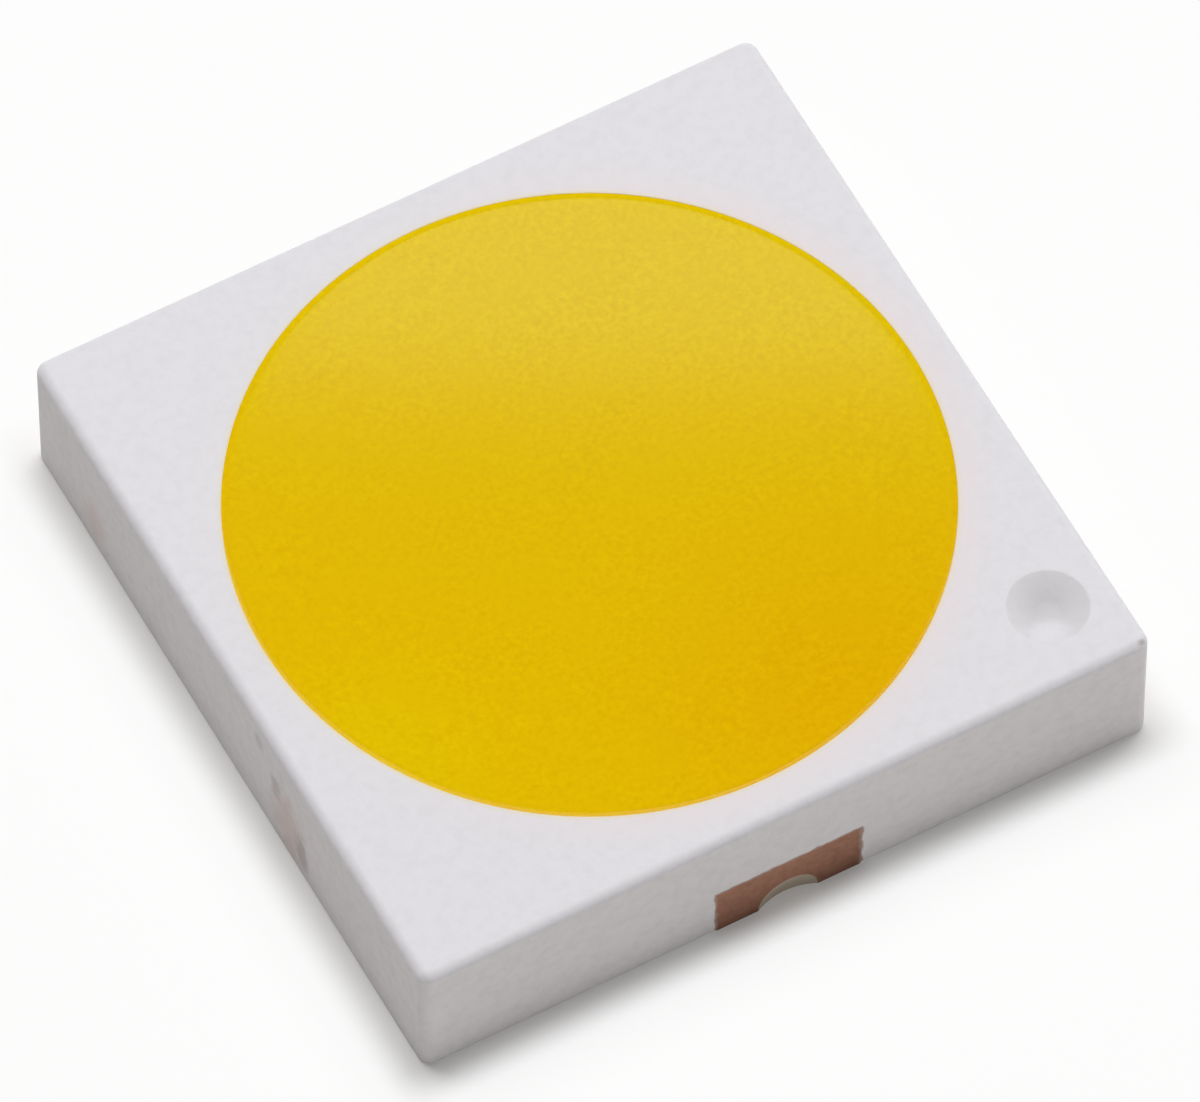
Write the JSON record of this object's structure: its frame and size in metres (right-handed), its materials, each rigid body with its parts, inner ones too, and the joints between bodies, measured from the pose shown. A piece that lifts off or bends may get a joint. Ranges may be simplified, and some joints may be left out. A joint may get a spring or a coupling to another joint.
{
  "type": "surface-mount white led",
  "caption": "Square surface-mount white LED: moulded white housing, round yellow phosphor window, copper lead frame, solder pads underneath.",
  "frame": {"origin": "centre of the underside, in the plane of the solder pads", "axes": "+Z the way the light leaves, -Y towards the end face with the cathode's tab, +X and -Y towards the corner with the polarity dimple"},
  "size_m": [0.003, 0.003, 0.0006],
  "materials": {
    "white_compound": "matte moulded white epoxy compound",
    "plated_copper": "bare copper at the sawn ends, matte silver plating elsewhere",
    "phosphor_silicone": "satin yellow silicone with phosphor powder",
    "sapphire_die": "polished",
    "die_adhesive": "cured clear adhesive",
    "gold": "drawn gold",
    "silicon_die": "diced silicon",
    "silver_adhesive": "cured silver-filled adhesive"
  },
  "bodies": {
    "root": {"housing": "white_compound", "cathode_lead": "plated_copper", "anode_lead": "plated_copper", "phosphor_fill": "phosphor_silicone", "die_1": "sapphire_die", "die_2": "sapphire_die", "die_attach_1": "die_adhesive", "die_attach_2": "die_adhesive", "die_1_p_pad": "gold", "die_1_n_pad": "gold", "die_2_p_pad": "gold", "die_2_n_pad": "gold", "esd_diode": "silicon_die", "esd_attach": "silver_adhesive", "esd_top_pad": "gold", "wire_anode_to_die_1": "gold", "wire_die_1_to_die_2": "gold", "wire_die_2_to_cathode": "gold", "wire_esd_to_anode": "gold"}
  },
  "joints": []
}
